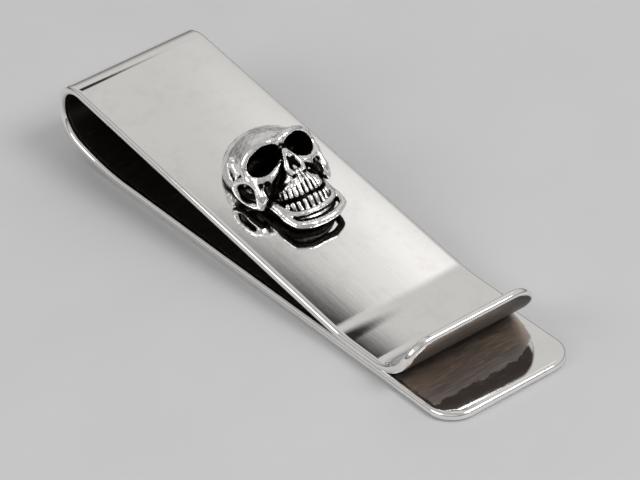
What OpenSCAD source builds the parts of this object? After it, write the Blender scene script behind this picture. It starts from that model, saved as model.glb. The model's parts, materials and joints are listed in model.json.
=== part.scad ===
// Money clip: one strip of silver folded into a flat lower leaf, a sprung
// back bend and a sloping upper leaf that ends in a raised lip, with a small
// cast skull soldered on the upper leaf. Millimetres. The origin is the
// middle of the footprint, on the surface the clip rests on. +X points at
// the open end, +Z is up.

/* [Strip] */
// Overall length, from the back of the bend to the front edge
clip_len = 60; // [50:1:75]
// Width of the strip
strip_w = 15; // [12:0.5:20]
// Thickness of the strip
strip_t = 0.9; // [0.7:0.05:1.3]
// Rounding of the strip's long edges
edge_r = 0.3; // [0.15:0.05:0.34]
// Plan radius of the strip's end corners
corner_r = 2.8; // [1:0.2:5]

/* [Back bend] */
// Mid-thickness radius of the long sweep that lifts off the rest surface
sweep_r = 25; // [15:1:40]
// Angle the long sweep turns through
sweep_ang = 17.5; // [12:0.5:22]
// Mid-thickness radius of the tight loop
loop_r = 3.3; // [2.6:0.1:4.2]

/* [Pinch and lip] */
// Distance from the front edge to the back of the flat pinch
pinch_back = 14; // [12:0.5:18]
// Mid-thickness radius where the leaf settles on the flat pinch
pinch_r = 18; // [10:1:30]
// Length of the flat pinch
pinch_len = 3.4; // [1:0.2:6]
// Gap left between the two leaves at the pinch
pinch_gap = 0.05; // [0.03:0.01:0.2]
// Mid-thickness radius of the lip
lip_r = 5; // [3:0.25:6]
// Angle the lip turns up through
lip_ang = 84; // [40:1:88]

/* [Skull] */
// Distance from the front edge to the skull's middle
skull_back = 36.2; // [32:0.2:40]
// Height of the skull's middle above the leaf
skull_rise = 1.6; // [1.2:0.1:2.2]
// Radius of the braincase
brain_r = 4.1; // [3.8:0.1:4.4]
// Lean of the face from square to the leaf
face_lean = 44; // [35:1:55]
// Thickness of the solder between casting and leaf
solder_t = 0.1; // [0.05:0.01:0.2]

/* [Hidden] */
$fn = 96;
front_x = clip_len / 2;
mid_t = strip_t / 2;
// sweep and loop centres, and where the flat lower leaf ends
loop_x = mid_t + loop_r - front_x;
sweep_x = loop_x + (sweep_r - loop_r) * sin(sweep_ang);
sweep_z = mid_t + sweep_r;
loop_z = sweep_z - (sweep_r - loop_r) * cos(sweep_ang);
// the upper leaf is the line tangent to the loop and to the pinch radius
pinch_x = front_x - pinch_back;
pinch_mid = 3 * mid_t + pinch_gap;
pinch_z = pinch_mid + pinch_r;
span = norm([pinch_x - loop_x, pinch_z - loop_z]);
leaf_ang = asin((loop_r + pinch_r) / span)
  - atan2(pinch_z - loop_z, pinch_x - loop_x);
leaf_x = loop_x + loop_r * sin(leaf_ang);
leaf_z = loop_z + loop_r * cos(leaf_ang);
leaf_len = (pinch_x - pinch_r * sin(leaf_ang) - leaf_x) / cos(leaf_ang);
lip_x = pinch_x + pinch_len;
lip_z = pinch_mid + lip_r;
// the skull stands on the leaf's top face, on its layer of solder
run_on = 1;
skull_u = (front_x - skull_back - leaf_x) / cos(leaf_ang);
solder_back = 0.5;
// places in the skull's own frame: f out of the face, s up to the crown
brain_f = -0.3;
brain_s = -0.2;
arch_r = 2.25;
arch_f = 3.15;
jaw_f = 3.85;
jaw_s = -4.65;
jaw_r = 0.85;
jaw_tilt = 45;
tooth_r = 0.3;
tooth_count = 10;
bar_waist = 0.96;

// strip section, centred, width along Y and thickness along X
module section() {
  square([strip_t, strip_w - 2 * edge_r], center = true);
  square([strip_t - 2 * edge_r, strip_w], center = true);
  for (sx = [-1, 1], sy = [-1, 1])
    translate([sx * (mid_t - edge_r), sy * (strip_w / 2 - edge_r)])
      circle(r = edge_r, $fn = 32);
}

// straight run of strip along +X, from the origin, at mid thickness
module run(length) {
  rotate([0, 90, 0])
    linear_extrude(height = length)
      section();
}

// arc of strip that leaves the origin along +X and curls up by an angle
module bend(radius, angle) {
  translate([0, 0, radius])
    rotate([90, 90, 180])
      mirror([0, 1, 0])
        rotate_extrude(angle = angle, $fn = 180)
          translate([radius, 0])
            section();
}

// plan shape with two rounded corners at its +X end, to trim a strip end
module rounded_end(length) {
  half = strip_w / 2 + 1;
  inner = strip_w / 2 - corner_r;
  translate([-length, -half])
    square([length - corner_r, 2 * half]);
  translate([-corner_r - 0.01, -inner])
    square([corner_r + 0.01, 2 * inner]);
  for (s = [-1, 1])
    translate([-corner_r, s * inner])
      circle(r = corner_r);
}

// the frame of the skull's leaf position: X along the leaf, Z out of it
module on_leaf() {
  translate([leaf_x, 0, leaf_z])
    rotate([0, leaf_ang, 0])
      translate([skull_u, 0, mid_t])
        children();
}

// the skull's own frame: X out of the face, Y across, Z to the crown
module in_skull() {
  translate([0, 0, skull_rise])
    rotate([0, face_lean - 90, 0])
      children();
}

// bar between two points, with round ends a little wider than the bar
module bar(a, b, r) {
  d = b - a;
  translate(a)
    rotate([0, acos(d[2] / norm(d)), atan2(d[1], d[0])])
      cylinder(r = bar_waist * r, h = norm(d), $fn = 32);
  for (p = [a, b])
    translate(p)
      sphere(r = r, $fn = 32);
}

// braincase, forehead, brow, cheekbones and upper jaw, before the holes
module cranium() {
  translate([brain_f, 0, brain_s])
    sphere(r = brain_r);
  bar([1.6, -1.2, 0.5], [1.6, 1.2, 0.5], 2);
  bar([4.7, 0, -0.4], [3.9, 0, 1.6], 0.45);
  translate([arch_f, 0, -3.2])
    cylinder(r1 = arch_r, r2 = 1.1, h = 3);
  for (s = [-1, 1]) {
    bar([3.9, 0, 1.75], [3.1, s * 3.1, 1.5], 0.55);
    bar([3.1, s * 3.1, 1.5], [2.8, s * 3.75, -0.6], 0.5);
    bar([2.8, s * 3.75, -0.6], [3.6, s * 1.6, -1.1], 0.5);
    bar([3.4, s * 2.2, -1.4], [3.2, s * 3.9, -3.1], 0.55);
    bar([2.8, s * 3.8, -0.7], [0, s * 4, -0.9], 0.4);
    bar([3.2, s * 3.9, -3.1], [-0.2, s * 3.9, -2.3], 0.42);
  }
}

// eye sockets, temples and the nose opening
module face_holes() {
  for (s = [-1, 1]) {
    translate([4.2, s * 2, 0.4])
      sphere(r = 1.45);
    translate([1.5, s * 4.9, -1.7])
      sphere(r = 1);
  }
  translate([3.8, 0, -1.7])
    rotate([90, 0, 90])
      linear_extrude(height = 2.5)
        polygon([[0, 1.4], [0.6, 0.2], [0, 0], [-0.6, 0.2]]);
}

// horseshoe of the lower jaw, parallel to the leaf and open at the back
module jaw() {
  translate([jaw_f, 0, jaw_s])
    rotate([0, jaw_tilt, 0])
      rotate([0, 0, -90])
        rotate_extrude(angle = 180)
          translate([arch_r, 0])
            circle(r = jaw_r, $fn = 48);
  for (s = [-1, 1])
    bar([jaw_f, s * arch_r, jaw_s], [1.6, s * 2.9, -2.6], 0.8);
}

// one row of teeth round the front of a jaw
module teeth(base, height) {
  step = 150 / (tooth_count - 1);
  for (i = [0 : tooth_count - 1])
    translate([arch_f, 0, base])
      rotate([0, 0, -75 + i * step])
        translate([arch_r - 0.05, 0, 0])
          cylinder(r = tooth_r, h = height, $fn = 24);
}

module lower_leaf() {
  color("silver")
    union() {
      intersection() {
        translate([sweep_x, 0, mid_t])
          run(front_x - sweep_x);
        translate([front_x, 0, -1])
          linear_extrude(height = strip_t + 2)
            rounded_end(clip_len);
      }
      translate([sweep_x, 0, mid_t])
        mirror([1, 0, 0])
          bend(sweep_r, sweep_ang);
    }
}

module spring_bend() {
  color("silver")
    translate([loop_x, 0, loop_z])
      rotate([0, sweep_ang, 0])
        translate([0, 0, -loop_r])
          mirror([1, 0, 0])
            bend(loop_r, 180 + leaf_ang - sweep_ang);
}

module upper_leaf() {
  end_x = lip_x + lip_r * sin(lip_ang);
  end_z = lip_z - lip_r * cos(lip_ang);
  color("gainsboro")
    union() {
      translate([leaf_x, 0, leaf_z])
        rotate([0, leaf_ang, 0])
          run(leaf_len + run_on);
      translate([pinch_x, 0, pinch_mid])
        mirror([1, 0, 0])
          bend(pinch_r, leaf_ang);
      translate([pinch_x, 0, pinch_mid])
        run(pinch_len);
      intersection() {
        translate([lip_x, 0, pinch_mid])
          bend(lip_r, lip_ang);
        translate([end_x, 0, end_z])
          rotate([0, -lip_ang, 0])
            translate([0, 0, -2 * lip_r])
              linear_extrude(height = 4 * lip_r)
                rounded_end(3 * lip_r);
      }
    }
}

module skull() {
  color("dimgray")
    on_leaf()
      intersection() {
        translate([0, 0, solder_t])
          translate([-10, -10, 0])
            cube([25, 20, 12]);
        in_skull()
          union() {
            difference() {
              cranium();
              face_holes();
            }
            jaw();
            teeth(-3.9, 1.6);
            teeth(-5.7, 1.2);
          }
      }
}

module solder_seam() {
  color("gray")
    on_leaf()
      cylinder(r = brain_r - solder_back, h = solder_t);
}

lower_leaf();
spring_bend();
upper_leaf();
skull();
solder_seam();
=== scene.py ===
"""Money clip of bent silver strip with a small cast skull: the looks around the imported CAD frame."""

import json
import math
from collections import namedtuple
from functools import reduce

import bmesh
import bpy
import numpy as np
from mathutils import Matrix, Vector


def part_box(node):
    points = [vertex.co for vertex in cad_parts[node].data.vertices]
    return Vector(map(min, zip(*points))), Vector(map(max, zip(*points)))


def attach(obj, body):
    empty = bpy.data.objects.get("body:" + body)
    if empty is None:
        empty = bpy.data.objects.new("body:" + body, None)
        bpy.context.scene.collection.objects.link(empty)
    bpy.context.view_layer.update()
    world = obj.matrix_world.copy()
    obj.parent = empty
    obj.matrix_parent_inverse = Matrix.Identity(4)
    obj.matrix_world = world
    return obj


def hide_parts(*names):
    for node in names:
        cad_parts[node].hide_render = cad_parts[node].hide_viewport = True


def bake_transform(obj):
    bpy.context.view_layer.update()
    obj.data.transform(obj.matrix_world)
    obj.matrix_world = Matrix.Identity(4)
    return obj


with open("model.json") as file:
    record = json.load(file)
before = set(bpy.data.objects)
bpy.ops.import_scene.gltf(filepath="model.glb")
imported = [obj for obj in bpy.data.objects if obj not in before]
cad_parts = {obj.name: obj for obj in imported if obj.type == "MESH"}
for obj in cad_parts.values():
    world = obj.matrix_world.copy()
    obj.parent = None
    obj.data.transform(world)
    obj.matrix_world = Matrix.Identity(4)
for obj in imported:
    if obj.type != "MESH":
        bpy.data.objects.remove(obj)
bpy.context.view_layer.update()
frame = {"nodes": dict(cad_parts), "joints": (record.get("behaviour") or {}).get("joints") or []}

MM = 0.001
NEAR = 1e-9

# The strip, in millimetres: its section, its bends and its two rounded ends.
LOWER_LO, LOWER_HI = (np.array(c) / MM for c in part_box("lower_leaf"))
HINGE = np.array(frame["joints"][0]["pos_m"]) / MM
STRIP_W = LOWER_HI[1] - LOWER_LO[1]
STRIP_T = 0.9
CORNER_R = 2.8
SWEEP_R = 25.0
SWEEP_TURN = math.radians(17.5)
LOOP_R = 3.3
PINCH_R = 18.0
PINCH_LEN = 3.4
PINCH_X = LOWER_HI[0] - 14.0
PINCH_MID = 1.4
LIP_R = 5.0
LIP_TURN = math.radians(84)

# Its rolled edges, and the slight crown that its polish leaves across the width.
EDGE_ROLL = 0.55
EDGE_POWER = 2.4
CROWN_SLOPE = 0.06
CROWN_POWER = 1.5

# How finely it is meshed.
EDGE_ROWS = 9
CORNER_ROWS = 12
FLAT_COLUMNS = 27
BEND_STEP = 0.16
STRAIGHT_STEP = 0.6


# ---------------------------------------------------------------- strip path

def tangent_slope():
    """Slope of the straight upper leaf, which touches the loop and the pinch bend."""
    dx = PINCH_X - HINGE[0]
    dz = PINCH_MID + PINCH_R - HINGE[2]
    return math.asin((LOOP_R + PINCH_R) / math.hypot(dx, dz)) - math.atan2(dz, dx)


LEAF_SLOPE = tangent_slope()


def straight_length():
    """Length of the straight upper leaf between its two tangent points."""
    top_x = HINGE[0] + LOOP_R * math.sin(LEAF_SLOPE)
    return (PINCH_X - PINCH_R * math.sin(LEAF_SLOPE) - top_x) / math.cos(LEAF_SLOPE)


Leg = namedtuple("Leg", "begin length point heading turn")


def along_leg(leg, distance):
    """Point and heading at a distance from the beginning of a leg."""
    if leg.turn == 0:
        step = np.array([math.cos(leg.heading), math.sin(leg.heading)])
        return leg.point + distance * step, leg.heading
    rate = leg.turn / leg.length
    new = leg.heading + rate * distance
    shift = np.array([math.sin(new) - math.sin(leg.heading), math.cos(leg.heading) - math.cos(new)])
    return leg.point + shift / rate, new


class Path:
    """Centreline of the strip in the XZ plane, made of straight and curved legs."""

    def __init__(self, start, heading):
        self.legs = []
        self.point = np.array(start, float)
        self.heading = heading
        self.length = 0.0

    def leg(self, length, turn=0.0):
        """Adds a leg that turns left by an angle over its length."""
        leg = Leg(self.length, length, self.point, self.heading, turn)
        self.legs.append(leg)
        self.point, self.heading = along_leg(leg, length)
        self.length += length

    def bend(self, radius, turn):
        """Adds an arc of the given radius."""
        self.leg(radius * abs(turn), turn)

    def at(self, s):
        """Point and heading at distance s along the path."""
        ends = [leg for leg in self.legs if s <= leg.begin + leg.length + NEAR]
        return along_leg(ends[0], s - ends[0].begin)

    def leg_after(self, s):
        """The leg that leads on from distance s."""
        return [leg for leg in self.legs if leg.begin <= s + NEAR][-1]


SWEEP_X = HINGE[0] + (SWEEP_R - LOOP_R) * math.sin(SWEEP_TURN)
strip = Path((LOWER_HI[0], STRIP_T / 2), math.pi)
strip.leg(LOWER_HI[0] - SWEEP_X)
strip.bend(SWEEP_R, -SWEEP_TURN)
LOOP_START = strip.length
strip.bend(LOOP_R, -(math.pi + LEAF_SLOPE - SWEEP_TURN))
LOOP_END = strip.length
strip.leg(straight_length())
strip.bend(PINCH_R, LEAF_SLOPE)
strip.leg(PINCH_LEN)
strip.bend(LIP_R, LIP_TURN)
STRIP_LEN = strip.length


# ------------------------------------------------------------ strip meshing

def edge_distances():
    """Distances in from an edge that follow its rolled profile evenly."""
    angle = np.linspace(0, math.pi / 2, EDGE_ROWS)
    return EDGE_ROLL * (1 - np.cos(angle) ** (2 / EDGE_POWER))


def half_thickness(distance):
    """Half thickness of the strip at a distance in from its outline."""
    near = np.clip(1 - distance / EDGE_ROLL, 0, 1)
    return STRIP_T / 2 * (1 - near ** EDGE_POWER) ** (1 / EDGE_POWER)


def stations(start, end, free_start, free_end):
    """Distances along the strip where a piece has a row of points."""
    closing = np.concatenate([edge_distances(), np.linspace(EDGE_ROLL, CORNER_R, CORNER_ROWS)[1:]])
    first = start + closing if free_start else np.array([start])
    last = end - closing[::-1] if free_end else np.array([end])
    middle = [first[-1]]
    stops = [leg.begin for leg in strip.legs if first[-1] < leg.begin < last[0]]
    for stop in stops + [last[0]]:
        step = BEND_STEP if strip.leg_after(middle[-1]).turn else STRAIGHT_STEP
        count = max(math.ceil((stop - middle[-1]) / step), 2)
        middle.extend(np.linspace(middle[-1], stop, count + 1)[1:])
    return np.concatenate([first, middle[1:-1], last])


def row_across(corner):
    """Places across the strip of a row's points, for a row that far into a rounded end."""
    width = STRIP_W / 2 - CORNER_R + math.sqrt(CORNER_R ** 2 - corner ** 2)
    flat = width - EDGE_ROLL
    edge = edge_distances()
    inner = np.linspace(0, 1, FLAT_COLUMNS)[1:-1]
    return np.concatenate([-width + edge, -flat + 2 * flat * inner, (width - edge)[::-1]])


def from_outline(ys, to_end, corner, free):
    """How far in from the strip's outline places are, and the way out to it (along, across)."""
    reach = np.abs(ys) - (STRIP_W / 2 - CORNER_R)
    in_corner = (corner > 0) & (reach > 0)
    to_side = STRIP_W / 2 - np.abs(ys)
    distance = np.where(in_corner, CORNER_R - np.hypot(corner, reach), np.minimum(to_end, to_side))
    away = np.stack([np.zeros_like(ys), np.sign(ys)], 1)
    away[(to_end < to_side) & ~in_corner] = (free, 0)
    round_corner = np.stack([np.full_like(ys, free * corner), np.sign(ys) * reach], 1)
    round_corner /= np.maximum(np.hypot(corner, reach), NEAR)[:, None]
    away[in_corner] = round_corner[in_corner]
    return np.maximum(distance, 0), away


def strip_row(s, to_end, free):
    """Points, normals and sheet places round the strip's section at distance s along it."""
    centre, heading = strip.at(s)
    tangent = np.array([math.cos(heading), 0, math.sin(heading)])
    outward = np.array([-math.sin(heading), 0, math.cos(heading)])
    sideways = np.array([0, 1, 0])
    corner = max(CORNER_R - to_end, 0)
    across = row_across(corner)
    points, normals, sheet = [], [], []
    for side, ys in ((1, across), (-1, across[-2:0:-1])):
        distance, away = from_outline(ys, to_end, corner, free)
        lift = half_thickness(distance)
        lean = np.clip(1 - distance / EDGE_ROLL, 0, 1) ** (EDGE_POWER - 1) / EDGE_ROLL
        rise = (lift / (STRIP_T / 2)) ** (EDGE_POWER - 1) / (STRIP_T / 2)
        crown = CROWN_SLOPE * np.sign(ys) * np.abs(2 * ys / STRIP_W) ** CROWN_POWER
        facing = (np.outer(away[:, 0] * lean, tangent)
                  + np.outer(away[:, 1] * lean + crown * rise, sideways)
                  + np.outer(side * rise, outward))
        length = np.linalg.norm(facing, axis=1)
        points.append((centre[0], 0, centre[1]) + np.outer(ys, sideways) + np.outer(side * lift, outward))
        normals.append(facing / np.maximum(length, NEAR)[:, None])
        sheet.append(np.stack([np.full_like(ys, s), ys, side * lift / (STRIP_T / 2)], 1))
    return np.concatenate(points), np.concatenate(normals), np.concatenate(sheet)


def strip_piece(name, start, end, free_start=False, free_end=False):
    """A length of strip with rolled edges, between two distances along its path."""
    rows = []
    for s in stations(start, end, free_start, free_end):
        to_start = s - start if free_start else math.inf
        to_finish = end - s if free_end else math.inf
        free = 1 if to_finish < to_start else -1
        rows.append(strip_row(s, min(to_start, to_finish), free))
    per = len(rows[0][0])
    faces = []
    for first in range(0, (len(rows) - 1) * per, per):
        for k in range(per):
            a, b = first + k, first + (k + 1) % per
            faces.append((a, b, b + per, a + per))
    if not free_start:
        faces.append(tuple(reversed(range(per))))
    if not free_end:
        faces.append(tuple(range((len(rows) - 1) * per, len(rows) * per)))
    points, normals, sheet = (np.concatenate(part) for part in zip(*rows))
    return build_strip(name, points * MM, faces, normals, sheet)


def build_strip(name, points, faces, normals, sheet):
    """A mesh object with its own normals and a 'sheet' attribute in millimetres."""
    mesh = bpy.data.meshes.new(name)
    mesh.from_pydata(points.tolist(), [], faces)
    set_attribute(mesh, "sheet", "FLOAT_VECTOR", sheet)
    set_attribute(mesh, "facing", "FLOAT_VECTOR", normals)
    bm = bmesh.new()
    bm.from_mesh(mesh)
    bmesh.ops.remove_doubles(bm, verts=bm.verts, dist=1e-7)
    bmesh.ops.recalc_face_normals(bm, faces=bm.faces)
    bm.to_mesh(mesh)
    bm.free()
    mesh.shade_smooth()
    facing = np.zeros(len(mesh.vertices) * 3, np.float32)
    mesh.attributes["facing"].data.foreach_get("vector", facing)
    mesh.normals_split_custom_set_from_vertices(facing.reshape(-1, 3).tolist())
    mesh.attributes.remove(mesh.attributes["facing"])
    return add_object(name, mesh)


def set_attribute(mesh, name, kind, values):
    """Stores a value or a vector at each point of a mesh."""
    field = "vector" if kind == "FLOAT_VECTOR" else "value"
    layer = mesh.attributes.new(name, kind, "POINT")
    layer.data.foreach_set(field, values.astype(np.float32).ravel())


def add_object(name, data):
    """An object in the scene that holds a mesh, a light or a camera."""
    made = bpy.data.objects.new(name, data)
    bpy.context.scene.collection.objects.link(made)
    return made


# ---------------------------------------------------- skull's frame and rods

# The skull's own frame, in millimetres: f out of the face, y across (its
# absolute value, because the halves match), s up to the crown.
FACE_LEAN = math.radians(44)
SKULL_RISE = 1.6
SOLDER_T = 0.1

ALONG = np.array([math.cos(LEAF_SLOPE), 0, -math.sin(LEAF_SLOPE)])
LEAF_UP = np.array([math.sin(LEAF_SLOPE), 0, math.cos(LEAF_SLOPE)])
FACE = math.sin(FACE_LEAN) * ALONG + math.cos(FACE_LEAN) * LEAF_UP
CROWN = -math.cos(FACE_LEAN) * ALONG + math.sin(FACE_LEAN) * LEAF_UP
SEAM_LO, SEAM_HI = (np.array(c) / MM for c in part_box("solder_seam"))
BRAIN = (SEAM_LO + SEAM_HI) / 2 + (SKULL_RISE - SOLDER_T / 2) * LEAF_UP
TO_ROW = np.stack([FACE, (0, 1, 0), CROWN], 1)


def above_leaf(p):
    """Height of points over the solder's middle."""
    rise = SKULL_RISE + math.cos(FACE_LEAN) * p[0] + math.sin(FACE_LEAN) * p[2]
    return rise - SOLDER_T / 2


def ball(p, centre, radii, tilt=0.0):
    """Distance to an ellipsoid, tilted by degrees in the f-s plane."""
    q = [p[i] - centre[i] for i in range(3)]
    if tilt:
        c, s = math.cos(math.radians(tilt)), math.sin(math.radians(tilt))
        q = [c * q[0] + s * q[2], q[1], c * q[2] - s * q[0]]
    near = np.sqrt(sum((q[i] / radii[i]) ** 2 for i in range(3)))
    far = np.sqrt(sum((q[i] / radii[i] ** 2) ** 2 for i in range(3)))
    return near * (near - 1) / np.maximum(far, 1e-6)


def bone(p, a, b, ra, rb):
    """Distance to a rod from a to b that changes radius."""
    axis = np.subtract(b, a)
    q = [p[i] - a[i] for i in range(3)]
    t = np.clip(sum(q[i] * axis[i] for i in range(3)) / float(axis @ axis), 0, 1)
    gap = np.sqrt(sum((q[i] - t * axis[i]) ** 2 for i in range(3)))
    return gap - (ra + (rb - ra) * t)


def curve(stops, steps=3):
    """Points on a smooth curve through the stops."""
    stops = np.array(stops, float)
    ends = np.vstack([2 * stops[0] - stops[1], stops, 2 * stops[-1] - stops[-2]])
    points = [stops[0]]
    for k in range(len(stops) - 1):
        a, b, c, d = ends[k:k + 4]
        for t in np.arange(1, steps + 1) / steps:
            points.append(0.5 * (2 * b + (c - a) * t + (2 * a - 5 * b + 4 * c - d) * t ** 2
                                 + (3 * b - a - 3 * c + d) * t ** 3))
    return points


def chain(p, *stops):
    """Distance to one curved rod through the stops, each (f, y, s, radius)."""
    points = curve(stops)
    rods = (bone(p, a[:3], b[:3], a[3], b[3]) for a, b in zip(points, points[1:]))
    return reduce(np.minimum, rods)


def join(a, b, soft):
    """Union with a fillet."""
    h = np.clip(0.5 + 0.5 * (b - a) / soft, 0, 1)
    return b + (a - b) * h - soft * h * (1 - h)


def carve(a, b, soft):
    """Takes b away from a, with a rounded brim."""
    return -join(-a, b, soft)


# ------------------------------------------------------------ skull sculpting

BRIM = 0.12
DISH_BRIM = 0.15
ARCH_F = 3.0
ARCH_SQUARE = 0.8
TOOTH_STEP = 13.5
TEETH_A_SIDE = 6
TOOTH_UNEVEN = 0.04
RIPPLE = 0.035


def braincase(p):
    """The round of the head, with a forehead that stands out over the face."""
    skullcap = ball(p, (-0.3, 0, -0.1), (4.5, 4.1, 3.6))
    forehead = ball(p, (1.9, 0, 0.75), (2.35, 3.4, 1.75))
    return join(skullcap, forehead, 0.8)


def brow_and_orbit(p):
    """The ridge over an eye socket and the rim below it."""
    brow = chain(p, (4.0, 0.2, 1.6, 0.38), (4.05, 0.95, 1.85, 0.42), (3.75, 2.0, 1.85, 0.42),
                 (3.2, 3.0, 1.5, 0.42), (2.8, 3.6, 0.9, 0.42), (2.65, 3.8, 0.2, 0.45), (2.8, 3.7, -0.6, 0.45))
    lower = chain(p, (2.8, 3.7, -0.6, 0.45), (3.3, 2.9, -1.1, 0.4), (3.65, 1.9, -1.1, 0.4),
                  (3.75, 1.1, -0.7, 0.36), (3.7, 0.65, 0.0, 0.22))
    return join(brow, lower, 0.12)


def cheek(p):
    """The cheekbone: two rods down to the jaw, and the arch back to the ear."""
    plate = chain(p, (3.5, 2.1, -1.3, 0.42), (3.4, 2.8, -2.0, 0.5), (3.1, 3.4, -2.8, 0.42),
                  (2.75, 3.75, -3.3, 0.34))
    outer = chain(p, (2.85, 3.75, -0.7, 0.4), (3.15, 3.7, -1.5, 0.34), (3.2, 3.85, -2.4, 0.34),
                  (2.75, 3.8, -3.3, 0.34))
    arch = chain(p, (2.8, 3.85, -0.6, 0.36), (1.7, 4.3, -0.35, 0.3), (0.7, 4.35, -0.65, 0.38),
                 (0.6, 4.3, -1.5, 0.34), (1.2, 4.2, -2.4, 0.3), (2.0, 4.05, -2.95, 0.36),
                 (2.75, 3.8, -3.3, 0.34))
    return join(join(plate, outer, 0.35), arch, 0.15)


def nose(p):
    """The bridge of the nose and the edge of its opening."""
    bridge = chain(p, (3.7, 0, 1.0, 0.18), (4.3, 0, 0.4, 0.2), (5.0, 0, -0.1, 0.24))
    wall = chain(p, (4.3, 0.1, 0.5, 0.22), (4.7, 0.5, -0.35, 0.24), (4.85, 0.78, -1.1, 0.25),
                 (5.1, 0.55, -1.75, 0.28))
    return join(bridge, wall, 0.12)


def nostrils(p):
    """The opening below the bridge: narrow at the top and forked at the foot."""
    cuts = [bone(p, (f, 0.04, -0.3), (f, 0.36, -1.2), 0.13, 0.22) for f in (4.3, 4.6, 4.9, 5.2)]
    return reduce(np.minimum, cuts)


def snout(p):
    """Upper jaw: a wedge that widens down to the teeth."""
    wedge = bone(p, (3.7, 0, 0.2), (4.2, 0, -1.9), 0.25, 1.0)
    body = ball(p, (3.6, 0, -2.6), (1.5, 1.6, 1.1))
    gum = chain(p, (5.1, 0, -2.6, 0.4), (4.85, 0.95, -2.7, 0.4), (4.1, 1.6, -2.9, 0.36),
                (3.1, 1.8, -3.1, 0.36))
    return join(join(wedge, body, 0.4), gum, 0.2)


def arch_point(index, depth, half):
    """A tooth's place on a jaw's arch of the given depth and half width."""
    angle = math.radians((index + 0.5) * TOOTH_STEP)
    return ARCH_F + depth * math.cos(angle) ** ARCH_SQUARE, half * math.sin(angle)


def tooth_row(p, top, bottom, arch_top, arch_bottom, r_top, r_bottom, sink=0.0):
    """Rods round the front of a jaw, one for each tooth or root; the tops sink toward the back."""
    rods = []
    for index in range(TEETH_A_SIDE):
        lean = TOOTH_UNEVEN * math.sin(7.3 * index + 3 * top)
        a = (*arch_point(index, *arch_top), top - sink * index ** 2 + lean)
        b = (*arch_point(index, *arch_bottom), bottom + 2 * lean)
        rods.append(bone(p, a, b, r_top, r_bottom))
    return reduce(np.minimum, rods)


def upper_face(p):
    """Nose, upper jaw and its teeth, with the roots above them."""
    face = carve(join(snout(p), nose(p), 0.12), nostrils(p), 0.08)
    face = join(face, tooth_row(p, -1.6, -2.9, (2.15, 1.2), (2.5, 2.0), 0.14, 0.2, 0.06), 0.06)
    face = join(face, tooth_row(p, -2.9, -3.6, (2.5, 2.1), (2.55, 2.2), 0.2, 0.23), 0.04)
    return carve(face, bone(p, (5.7, 0.6, -1.95), (4.6, 0.6, -1.95), 0.15, 0.15), 0.06)


def lower_jaw(p):
    """The jaw below the teeth: its rim, body, gum and side, and its row of teeth."""
    rim = chain(p, (6.0, 0, -6.75, 0.36), (6.0, 1.4, -6.6, 0.38), (5.55, 2.6, -6.1, 0.36),
                (4.5, 2.8, -5.15, 0.4), (3.3, 2.75, -4.0, 0.38), (1.8, 2.9, -2.6, 0.45))
    gum = chain(p, (5.7, 0, -5.5, 0.3), (5.45, 1.3, -5.45, 0.3), (4.9, 2.3, -5.1, 0.32),
                (3.7, 2.55, -4.2, 0.34), (2.4, 2.6, -3.2, 0.4))
    body = chain(p, (5.2, 0, -6.1, 0.45), (5.0, 1.2, -6.0, 0.47), (4.5, 2.15, -5.4, 0.5),
                 (3.2, 2.45, -4.05, 0.55))
    side = chain(p, (4.6, 2.55, -5.2, 0.42), (3.6, 2.6, -4.25, 0.46), (2.4, 2.7, -3.15, 0.5))
    bone_part = join(join(join(rim, body, 0.12), gum, 0.1), side, 0.25)
    return join(bone_part, tooth_row(p, -5.3, -4.3, (2.6, 2.5), (2.6, 2.5), 0.22, 0.25), 0.04)


def hollows(p):
    """Each cut in the head as its distance and the roundness of its brim, in carving order."""
    socket = join(ball(p, (3.9, 1.65, 0.62), (3.1, 1.52, 1.1)),
                  ball(p, (3.6, 2.55, 0.25), (2.9, 1.15, 1.0)), 0.5)
    window = ball(p, (2.0, 4.5, -1.65), (1.15, 2.0, 0.9), 12)
    temple = chain(p, (0.4, 3.7, 1.45, 0.6), (0.5, 3.85, 0.7, 0.52), (0.55, 4.0, 0.1, 0.36),
                   (0.45, 4.05, -0.2, 0.25))
    canal = bone(p, (4.2, 2.75, -1.6), (3.0, 2.6, -1.6), 0.22, 0.2)
    dish = ball(p, (3.95, 2.95, -2.15), (0.55, 0.45, 0.8))
    gap = chain(p, (4.0, 0.45, 0.15, 0.16), (3.8, 0.95, -0.95, 0.28), (3.4, 1.75, -2.2, 0.5),
                (3.2, 2.4, -3.6, 0.7))
    glabella = chain(p, (4.75, 0.45, 2.05, 0.12), (4.55, 0.2, 1.5, 0.26), (4.3, 0, 1.05, 0.28))
    return ((socket, BRIM), (window, BRIM), (temple, BRIM), (canal, BRIM), (dish, DISH_BRIM),
            (gap, BRIM), (glabella, BRIM))


def cast_ripple(p):
    """Slight unevenness of a hand-finished casting."""
    slow = np.sin(2.9 * p[0] + 1.3 * p[1]) * np.sin(3.3 * p[1] + 0.8) * np.sin(3.1 * p[2] + 0.5 * p[0])
    fast = np.sin(7.9 * p[0] - 3.1 * p[2]) * np.sin(8.7 * p[1] + 1.9 * p[0]) * np.sin(8.3 * p[2] + 2.1)
    return RIPPLE * (slow + 0.5 * fast)


def skull_distance(p):
    """Distance from points (f, |y|, s) to the skull's surface, below zero inside."""
    head = join(braincase(p), brow_and_orbit(p), 0.35)
    head = join(head, cheek(p), 0.2)
    for hollow, brim in hollows(p):
        head = carve(head, hollow, brim)
    distance = np.minimum(join(head, upper_face(p), 0.1), lower_jaw(p))
    return np.maximum(distance + cast_ripple(p), -above_leaf(p))


def folded(points):
    """Rows of points (f, y, s) as their columns f, |y| and s."""
    f, y, s = points.T
    return [f, np.abs(y), s]


def distance_at(points):
    """Distance from rows of points (f, y, s) to the skull's surface."""
    return skull_distance(folded(points))


# -------------------------------------------------------------- skull meshing

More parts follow.
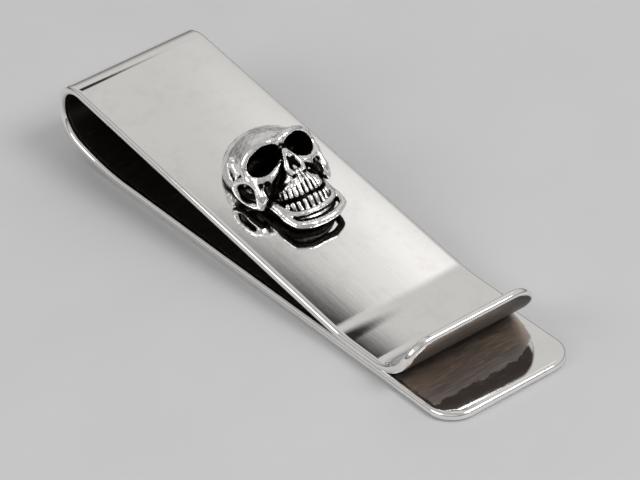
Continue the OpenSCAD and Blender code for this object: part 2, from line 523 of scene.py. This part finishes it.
CELL = 0.085
GRID_LOW = (-5.2, 0, -7.5)
GRID_SIZE = (12.2, 5.2, 11.7)
MARGIN = 2
SLOPE_STEP = 0.02


def sample_grid():
    """Distances on a grid round the whole skull, and the grid's lowest corner."""
    low = np.array(GRID_LOW) - MARGIN * CELL
    counts = np.ceil(np.array(GRID_SIZE) / CELL).astype(int)
    axes = [(low[i] + CELL * np.arange(counts[i])).astype(np.float32) for i in range(3)]
    f, y, s = np.meshgrid(*axes, indexing="ij")
    half = skull_distance([f, np.abs(y), s])
    low[1] = -CELL * (counts[1] - 1 - MARGIN)
    return np.concatenate([half[:, :MARGIN:-1], half[:, MARGIN:]], axis=1), low


def net_points(field, inside, low):
    """One point in each grid cell that the surface passes through, and the cells' numbers."""
    shape = np.array(field.shape) - 1
    corners = [(i, j, k) for i in (0, 1) for j in (0, 1) for k in (0, 1)]
    count = sum(inside[i:i + shape[0], j:j + shape[1], k:k + shape[2]].astype(np.int8) for i, j, k in corners)
    cells = (count > 0) & (count < len(corners))
    number = np.full(cells.shape, -1)
    number[cells] = np.arange(cells.sum())
    where = np.argwhere(cells)
    total = np.zeros((len(where), 3))
    crossings = np.zeros(len(where))
    value = {c: field[tuple((where + c).T)] for c in corners}
    for a in corners:
        for axis in (i for i in range(3) if not a[i]):
            b = tuple(1 if i == axis else a[i] for i in range(3))
            va, vb = value[a], value[b]
            hit = (va < 0) != (vb < 0)
            t = np.where(hit, va / np.where(hit, va - vb, 1), 0)
            total += (np.array(a, float) + np.outer(t, np.eye(3)[axis])) * hit[:, None]
            crossings += hit
    return (where + total / crossings[:, None]) * CELL + low, number


def surface_net(field, low):
    """Points and quads on the zero surface of a grid of distances."""
    inside = field < 0
    points, number = net_points(field, inside, low)
    faces = []
    for axis in range(3):
        u, v = [i for i in range(3) if i != axis]
        behind = [slice(1, -1)] * 3
        ahead = [slice(1, -1)] * 3
        behind[axis] = slice(0, -1)
        ahead[axis] = slice(1, None)
        a, b = inside[tuple(behind)], inside[tuple(ahead)]
        base = np.argwhere(a != b)
        flip = a[tuple(base.T)]
        base = base + [0 if i == axis else 1 for i in range(3)]
        step_u, step_v = np.eye(3, dtype=int)[[u, v]]
        turns = ((0, 0), (1, 0), (1, 1), (0, 1))
        quad = np.stack([number[tuple((base - step_u * i - step_v * j).T)] for i, j in turns], 1)
        if axis == 1:
            flip = ~flip
        quad[~flip] = quad[~flip][:, ::-1]
        faces.append(quad)
    return points, np.concatenate(faces)


def slope(points):
    """Unit direction in which the skull's distance grows."""
    result = np.zeros_like(points)
    for axis in range(3):
        step = SLOPE_STEP * np.eye(3)[axis]
        result[:, axis] = distance_at(points + step) - distance_at(points - step)
    return result / np.maximum(np.linalg.norm(result, axis=1), NEAR)[:, None]


# Oxide gathers where little of the sky is seen (looking along rays out to
# SHADOW_STEPS), in crevices of a given reach, and in stains left by hand on
# the cheeks, the roots, the back teeth and the gums: (place, reach, share).
DIRECTIONS = 40
SHADOW_LIFT = 0.12
SHADOW_STEPS = (0.2, 0.4, 0.65, 0.95, 1.3, 1.8, 2.4, 3.2)
CREVICES = ((0.2, 0.9), (0.5, 0.75))
STAINS = (((3.7, 2.8, -2.0), 0.85, 0.4), ((5.1, 0.6, -2.4), 1.1, 0.24), ((3.9, 2.1, -3.1), 1.0, 0.38),
          ((5.4, 1.0, -5.1), 0.9, 0.22), ((4.4, 2.2, -4.8), 0.8, 0.25))


def sky_rays():
    """Directions spread evenly over a sphere."""
    turn = np.arange(DIRECTIONS) * math.pi * (3 - math.sqrt(5))
    lift = 1 - (np.arange(DIRECTIONS) + 0.5) * 2 / DIRECTIONS
    flat = np.sqrt(1 - lift ** 2)
    return np.stack([flat * np.cos(turn), flat * np.sin(turn), lift], 1)


def hidden_sky(points, normals, field, low):
    """Share of the sky that each point can't see, by marching through the grid."""
    top = np.array(field.shape) - 1
    hidden = np.zeros(len(points))
    seen = np.zeros(len(points))
    for ray in sky_rays():
        facing = np.clip(normals @ ray, 0, 1)
        blocked = np.zeros(len(points), bool)
        for reach in SHADOW_STEPS:
            spot = points + SHADOW_LIFT * normals + reach * ray
            cell = np.clip(np.rint((spot - low) / CELL).astype(int), 0, top)
            blocked |= field[tuple(cell.T)] < 0
            blocked |= above_leaf(spot.T) < 0
        hidden += facing * blocked
        seen += facing
    return hidden / np.maximum(seen, 1e-6)


def cavity_share(points, normals, field, low):
    """How much oxide each point holds, from 0 on the high points upward."""
    share = hidden_sky(points, normals, field, low)
    place = np.stack(folded(points), 1)
    for spot, reach, strength in STAINS:
        # full strength within half the reach, none past one and a half
        share += strength * np.clip(1.5 - np.linalg.norm(place - spot, axis=1) / reach, 0, 1)
    for reach, strength in CREVICES:
        gap = distance_at(points + reach * normals)
        share = np.maximum(share, strength * np.clip(1 - gap / reach, 0, 1))
    return share


def skull_mesh():
    """The casting, with its oxide as 'cavity' and its own frame as 'local_mm'."""
    field, low = sample_grid()
    points, faces = surface_net(field, low)
    mesh = bpy.data.meshes.new("cast_skull")
    mesh.from_pydata(((BRAIN + points @ TO_ROW.T) * MM).tolist(), [], faces.tolist())
    mesh.shade_smooth()
    set_attribute(mesh, "cavity", "FLOAT", cavity_share(points, slope(points), field, low))
    set_attribute(mesh, "local_mm", "FLOAT_VECTOR", points)
    return add_object("cast_skull", mesh)


# ------------------------------------------------------------------ materials

class Nodes:
    """Short calls that add shader nodes to a material or to the world."""

    def __init__(self, owner):
        self.owner = bpy.data.materials.new(owner) if isinstance(owner, str) else owner
        self.owner.use_nodes = True
        self.tree = self.owner.node_tree
        self.shader = self.tree.nodes.get("Principled BSDF")

    def add(self, kind, **settings):
        """A new node with the given settings."""
        node = self.tree.nodes.new(kind)
        for key, value in settings.items():
            setattr(node, key, value)
        return node

    def feed(self, socket, value):
        """Links another node's output to a socket, or sets the socket's number."""
        if isinstance(value, bpy.types.NodeSocket):
            self.tree.links.new(value, socket)
        else:
            socket.default_value = value

    def finish(self, **sockets):
        """Feeds the shader's sockets, named with _ for each space."""
        for name, value in sockets.items():
            self.feed(self.shader.inputs[name.replace("_", " ")], value)
        return self.owner

    def attribute(self, name, output):
        """A value or vector that is stored on the mesh."""
        return self.add("ShaderNodeAttribute", attribute_name=name).outputs[output]

    def split(self, vector):
        """The three parts of a vector."""
        node = self.add("ShaderNodeSeparateXYZ")
        self.feed(node.inputs[0], vector)
        return node.outputs

    def math(self, operation, a, b=0.0):
        """A sum of one kind on two values."""
        node = self.add("ShaderNodeMath", operation=operation)
        self.feed(node.inputs[0], a)
        self.feed(node.inputs[1], b)
        return node.outputs[0]

    def plus(self, a, b):
        return self.math("ADD", a, b)

    def minus(self, a, b):
        return self.math("SUBTRACT", a, b)

    def times(self, a, b):
        return self.math("MULTIPLY", a, b)

    def size(self, a):
        return self.math("ABSOLUTE", a)

    def span(self, value, low, high, out_low=0.0, out_high=1.0):
        """Smooth ramp of a value from one range to another."""
        node = self.add("ShaderNodeMapRange", interpolation_type="SMOOTHSTEP")
        self.feed(node.inputs["Value"], value)
        ends = {"From Min": low, "From Max": high, "To Min": out_low, "To Max": out_high}
        for socket, number in ends.items():
            node.inputs[socket].default_value = number
        return node.outputs["Result"]

    def noise(self, vector, scale, detail=3.0, rough=0.55, stretch=(1, 1, 1)):
        """Procedural noise from 0 to 1, stretched along its axes."""
        mapping = self.add("ShaderNodeMapping")
        mapping.inputs["Scale"].default_value = stretch
        self.feed(mapping.inputs["Vector"], vector)
        node = self.add("ShaderNodeTexNoise")
        self.feed(node.inputs["Vector"], mapping.outputs["Vector"])
        node.inputs["Scale"].default_value = scale
        node.inputs["Detail"].default_value = detail
        node.inputs["Roughness"].default_value = rough
        return node.outputs["Fac"]

    def away(self, place, point):
        """Distance of a place from a point."""
        node = self.add("ShaderNodeVectorMath", operation="DISTANCE")
        self.feed(node.inputs[0], place)
        node.inputs[1].default_value = point
        return node.outputs["Value"]

    def mix(self, share, a, b):
        """Between two numbers by a share."""
        node = self.add("ShaderNodeMix", data_type="FLOAT")
        for index, value in ((0, share), (2, a), (3, b)):
            self.feed(node.inputs[index], value)
        return node.outputs[0]

    def blend(self, share, a, b):
        """Between two colours by a share."""
        node = self.add("ShaderNodeMix", data_type="RGBA")
        self.feed(node.inputs[0], share)
        for index, colour in ((6, a), (7, b)):
            plain = isinstance(colour, tuple)
            self.feed(node.inputs[index], (*colour, 1) if plain else colour)
        return node.outputs[2]

    def bump(self, height, strength, distance, under=None):
        """A bump over the surface, or over another bump."""
        node = self.add("ShaderNodeBump")
        node.inputs["Strength"].default_value = strength
        node.inputs["Distance"].default_value = distance
        self.feed(node.inputs["Height"], height)
        if under is not None:
            self.feed(node.inputs["Normal"], under)
        return node.outputs["Normal"]


SILVER = (0.93, 0.92, 0.905)
SILVER_DIM = (0.80, 0.785, 0.765)
SILVER_SMUDGED = (0.45, 0.44, 0.43)
PATINA = (0.07, 0.058, 0.052)
PATINA_PALE = (0.52, 0.47, 0.44)
# painted highlight: the colour of a brown glint on the patina
PATINA_GLINT_PAINT = (0.92, 0.76, 0.62)
OXIDE = (0.012, 0.011, 0.011)
OXIDE_BROWN = (0.10, 0.065, 0.05)
SOLDER = (0.5, 0.48, 0.45)
SOLDER_PIT = (0.2, 0.19, 0.18)
FLOOR = (0.60, 0.60, 0.61)
FLOOR_PALE = (0.66, 0.66, 0.67)

# The patina inside the strip, in millimetres from the lower free end or from
# a side: its polished border, which widens toward the far corner and rounds
# it off, the middle and half width of a band of painted glint across it, and the stretch where it is paler.
BORDER_END = 2.6
BORDER_SIDE = 0.5
BORDER_FAR_END = 2.4
BORDER_FAR_SIDE = 1.6
BORDER_FADE = 0.4
BORDER_SIDE_FADE = 0.3
GLINT_BAND_MIDDLE = 6.2
GLINT_BAND_HALF = 2.6
PALE_STRETCH_END = 8.0
PALE_STRETCH_FADE = 17.0


def patina_share(n, along, across, out, wobble):
    """Where the strip is oxidised: its inside face within the polished border."""
    inner_face = n.span(out, -0.93, -0.99)
    far_end = n.span(across, 2.0, STRIP_W / 2, 0.0, BORDER_FAR_END)
    from_end = n.minus(n.plus(n.minus(along, BORDER_END), n.times(wobble, 1.2)), far_end)
    to_side = n.minus(STRIP_W / 2, n.size(across))
    far_side = n.times(n.span(across, 0.0, 7.0), n.span(along, 9.0, 2.0, 0.0, BORDER_FAR_SIDE))
    from_side = n.minus(n.plus(n.minus(to_side, BORDER_SIDE), n.times(wobble, 0.5)), far_side)
    inside = n.times(n.span(from_end, 0.0, BORDER_FADE), n.span(from_side, 0.0, BORDER_SIDE_FADE))
    return n.times(inner_face, inside)


def patina_finish(n, sheet, along, wobble, streak):
    """The patina's colour, paler toward the lower free end, with a painted brown glint in a band across it.
    """
    cloud = n.noise(sheet, 0.35, 4, 0.6)
    # painted highlight: a brown glint in a band across the patina, standing in for light off it
    from_glint_band = n.size(n.minus(n.plus(along, n.times(wobble, 3.0)), GLINT_BAND_MIDDLE))
    painted_glint = n.times(n.span(cloud, 0.3, 0.7, 0.35, 0.9), n.span(from_glint_band, GLINT_BAND_HALF, 0.2, 0.15, 1.0))
    # the patina turns paler toward the lower free end
    pale_stretch = n.span(along, PALE_STRETCH_FADE, PALE_STRETCH_END)
    colour = n.blend(n.times(painted_glint, pale_stretch), n.blend(pale_stretch, PATINA, PATINA_PALE), PATINA_GLINT_PAINT)
    return n.blend(n.span(streak, 0.55, 0.8, 0, 0.12), colour, SILVER_DIM)


def strip_material():
    """Mirror-polished outside, oxidised inside, with a polished border at the lower free end."""
    n = Nodes("polished_strip")
    sheet = n.attribute("sheet", "Vector")
    along, across, out = n.split(sheet)
    wobble = n.minus(n.noise(sheet, 0.9, 4), 0.5)
    streak = n.noise(sheet, 2.2, 5, 0.6, (2.6, 0.22, 1))
    hair = n.noise(sheet, 9.0, 2, 0.5, (0.05, 2.5, 1))
    dull = n.span(n.noise(sheet, 0.5, 5, 0.6), 0.45, 0.75)
    wave = n.noise(sheet, 1.6, 3, 0.5, (0.12, 1.6, 1))
    patina = patina_share(n, along, across, out, wobble)
    silver = n.blend(n.times(dull, 0.35), SILVER, SILVER_DIM)
    polish = n.plus(n.times(dull, 0.05), n.span(hair, 0.62, 0.8, 0.035, 0.075))
    worked = n.bump(wave, 0.03, 0.00005, n.bump(hair, 0.05, 0.00002))
    return n.finish(Base_Color=n.blend(patina, silver, patina_finish(n, sheet, along, wobble, streak)),
                    Roughness=n.mix(patina, polish, n.span(streak, 0.3, 0.8, 0.38, 0.52)),
                    Metallic=1.0,
                    Normal=n.bump(n.times(streak, patina), 0.25, 0.00006, worked))


def skull_material():
    """Cast silver: black oxide in the recesses, buffed bright on the high points."""
    n = Nodes("cast_silver")
    local = n.attribute("local_mm", "Vector")
    grain = n.noise(local, 3.5, 6, 0.65)
    spots = n.noise(local, 9.0, 4, 0.6)
    depth = n.plus(n.attribute("cavity", "Fac"), n.times(n.minus(grain, 0.5), 0.35))
    silver = n.blend(n.times(n.span(grain, 0.55, 0.75), 0.15), SILVER, SILVER_SMUDGED)
    oxide = n.blend(n.span(spots, 0.5, 0.72, 0.0, 0.5), OXIDE, OXIDE_BROWN)
    return n.finish(Base_Color=n.blend(n.span(depth, 0.32, 0.54), silver, oxide),
                    Roughness=n.span(depth, 0.3, 0.7, 0.12, 0.5),
                    Metallic=1.0,
                    Normal=n.bump(n.plus(grain, n.times(spots, 0.4)), 0.35, 0.00005))


def solder_material():
    """Flowed solder, dull and a little pitted."""
    n = Nodes("flowed_solder")
    pits = n.noise(n.add("ShaderNodeTexCoord").outputs["Object"], 1800, 5, 0.6)
    return n.finish(Base_Color=n.blend(n.span(pits, 0.4, 0.7), SOLDER, SOLDER_PIT),
                    Roughness=n.span(pits, 0.3, 0.7, 0.3, 0.5),
                    Metallic=1.0,
                    Normal=n.bump(pits, 0.3, 0.00003))


def floor_material():
    """Plain pale floor, with a faint grain."""
    n = Nodes("pale_floor")
    grain = n.noise(n.add("ShaderNodeTexCoord").outputs["Object"], 60, 3)
    return n.finish(Base_Color=n.blend(grain, FLOOR, FLOOR_PALE), Roughness=0.6)


# ---------------------------------------------------------------------- pieces


def make_strip():
    """The strip as three meshes that meet: both leaves, and the loop between them."""
    finish = strip_material()
    lower = strip_piece("lower_strip", 0, LOOP_START, free_start=True)
    loop = strip_piece("loop_strip", LOOP_START, LOOP_END)
    upper = strip_piece("upper_strip", LOOP_END, STRIP_LEN, free_end=True)
    for piece, node in ((lower, "lower_leaf"), (loop, "spring_bend"), (upper, "upper_leaf")):
        piece.data.materials.append(finish)
        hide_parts(node)
    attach(lower, "clip_base")
    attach(upper, "clip_top")
    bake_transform(loop)


def make_skull():
    """The casting, and the finish of the solder under it, which the CAD models."""
    skull = skull_mesh()
    skull.data.materials.append(skull_material())
    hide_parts("skull")
    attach(skull, "clip_top")
    seam = frame["nodes"]["solder_seam"]
    seam.data.materials.clear()
    seam.data.materials.append(solder_material())


# ------------------------------------------------------------- floor and light

FLOOR_HALF = 1.5
LAMP_DISTANCE = 0.7

# The light tent: how bright it is low down and high up, a dimmer side, dark
# gaps (each a direction with its outer and inner reach) and a glow.
TENT_COLOUR = (1, 0.985, 0.97, 1)
TENT_LOW = 0.18
TENT_HIGH = 0.60
DIM_SIDE = 0.3
GAPS = (((-0.38, 0.37, 0.845), 0.105, 0.05), ((-0.62, 0.34, 0.70), 0.14, 0.07))
GAP_DEPTH = 0.96
GLOW_DIRECTION = (-0.41, 0.52, 0.74)
GLOW_EDGE = 0.12
GLOW_POWER = 0.45


def make_floor():
    """A flat square under the clip."""
    mesh = bpy.data.meshes.new("floor")
    corners = ((-1, -1), (1, -1), (1, 1), (-1, 1))
    mesh.from_pydata([(x * FLOOR_HALF, y * FLOOR_HALF, 0) for x, y in corners], [], [(0, 1, 2, 3)])
    mesh.materials.append(floor_material())
    floor = add_object("floor", mesh)


def soft_box(name, direction, size, power):
    """A rectangular area light that looks at the clip from a direction."""
    light = bpy.data.lights.new(name, "AREA")
    light.shape = "RECTANGLE"
    light.size, light.size_y = size
    light.energy = power
    back = Vector(direction).normalized()
    lamp = add_object(name, light)
    lamp.location = back * LAMP_DISTANCE
    lamp.rotation_mode = "QUATERNION"
    lamp.rotation_quaternion = back.to_track_quat("Z", "Y")


def studio():
    """A light tent with a dimmer side, dark gaps and a glow, plus two soft boxes."""
    world = bpy.data.worlds.new("studio")
    n = Nodes(world)
    place = n.add("ShaderNodeTexCoord").outputs["Generated"]
    _, side, height = n.split(place)
    tent = n.span(height, 0.02, 0.45, TENT_LOW, TENT_HIGH)
    dim = n.times(n.span(side, 0.05, -0.15), n.span(side, -0.5, -0.4))
    tent = n.times(tent, n.minus(1.0, n.times(dim, DIM_SIDE)))
    for direction, edge, core in GAPS:
        gap = n.span(n.away(place, direction), edge, core)
        tent = n.times(tent, n.minus(1.0, n.times(gap, GAP_DEPTH)))
    tent = n.plus(tent, n.span(n.away(place, GLOW_DIRECTION), GLOW_EDGE, 0.0, 0.0, GLOW_POWER))
    backdrop = n.tree.nodes["Background"]
    n.feed(backdrop.inputs["Strength"], tent)
    n.feed(backdrop.inputs["Color"], TENT_COLOUR)
    bpy.context.scene.world = world
    soft_box("side_box", (-0.2, -0.8, 0.5), (0.5, 0.25), 0.9)
    soft_box("key_box", (0.75, 0.35, 0.9), (0.3, 0.3), 2.0)


# ---------------------------------------------------------------------- camera

CAM_AZIMUTH = math.radians(55.63)
CAM_ELEVATION = math.radians(35.66)
CAM_ROLL = math.radians(5.2)
CAM_DISTANCE = 0.3901
CAM_TARGET = Vector((0.0012, 0.0004, 0.0015))
CAM_LENS = 236.25
CAM_SENSOR = 36
CAM_NEAR = 0.01


def make_camera():
    """The camera at the photo's viewing angle."""
    data = bpy.data.cameras.new("camera")
    data.lens = CAM_LENS
    data.sensor_width = CAM_SENSOR
    data.clip_start = CAM_NEAR
    flat = math.cos(CAM_ELEVATION)
    back = Vector((math.sin(CAM_AZIMUTH) * flat, -math.cos(CAM_AZIMUTH) * flat, math.sin(CAM_ELEVATION)))
    level = Vector((math.cos(CAM_AZIMUTH), math.sin(CAM_AZIMUTH), 0))
    right = math.cos(CAM_ROLL) * level - math.sin(CAM_ROLL) * back.cross(level)
    turn = Matrix((right, back.cross(right), back)).transposed()
    camera = add_object("camera", data)
    camera.matrix_world = Matrix.Translation(CAM_TARGET + CAM_DISTANCE * back) @ turn.to_4x4()
    bpy.context.scene.camera = camera
    bpy.context.scene.view_settings.view_transform = "Standard"


make_strip()
make_skull()
make_floor()
studio()
make_camera()
